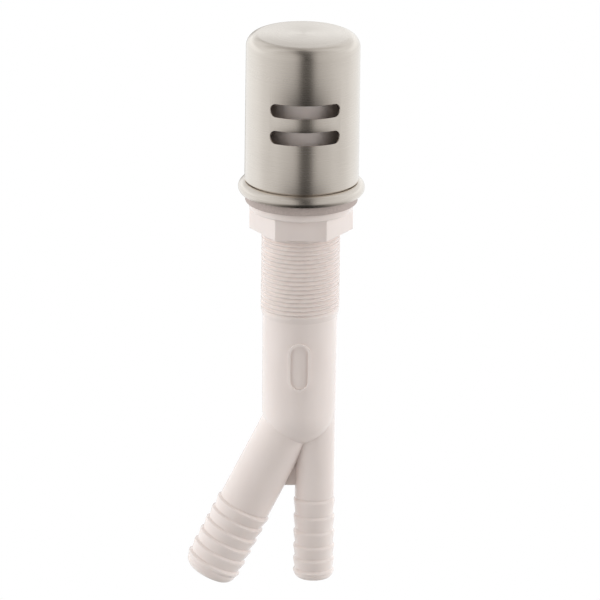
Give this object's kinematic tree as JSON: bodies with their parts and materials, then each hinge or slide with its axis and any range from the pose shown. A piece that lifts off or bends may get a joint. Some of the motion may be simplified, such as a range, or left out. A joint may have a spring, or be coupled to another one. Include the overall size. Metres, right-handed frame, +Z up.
{
  "type": "dishwasher air gap",
  "caption": "Deck-mounted drain air gap with a slotted metal cover on a rim ring, a threaded shank with a clamping nut, a straight barbed inlet leg and a slanted barbed outlet leg.",
  "frame": {"origin": "on the shank's axis, on the deck's top face, which is the gasket's underside", "axes": "+Z up along the shank towards the cover, -Y the front with the cover's slots, -X the side that the outlet leg slants to"},
  "size_m": [0.0698, 0.0512, 0.2322],
  "materials": {
    "brushed_nickel": "brushed nickel, satin",
    "white_polypropylene": "moulded, slightly warm white, satin",
    "grey_rubber": "soft, matt, pinkish grey"
  },
  "bodies": {
    "body": {"moulded_body": "white_polypropylene", "top_lock_nut": "white_polypropylene", "escutcheon": "brushed_nickel", "gasket": "grey_rubber"},
    "cover": {"cover": "brushed_nickel"},
    "diverter": {"diverter_cap": "white_polypropylene"},
    "washer": {"friction_washer": "white_polypropylene"},
    "nut": {"mounting_nut": "white_polypropylene"}
  },
  "joints": [
    {"name": "cover_lift", "type": "slide", "parent": "body", "child": "cover", "axis": [0, 0, 1], "range_m": [0, 0.065]},
    {"name": "diverter_lift", "type": "slide", "parent": "body", "child": "diverter", "axis": [0, 0, 1], "range_m": [0, 0.01]},
    {"name": "washer_travel", "type": "slide", "parent": "body", "child": "washer", "axis": [0, 0, -1], "range_m": [0, 0.03266]},
    {"name": "nut_spin", "type": "hinge", "parent": "washer", "child": "nut", "pos_m": [0, 0, -0.0076], "axis": [0, 0, -1], "range_deg": [0, 6480]}
  ],
  "couplings": [
    {"joint": "washer_travel", "follows": "nut_spin", "m_per_rad": 0.00028875}
  ]
}
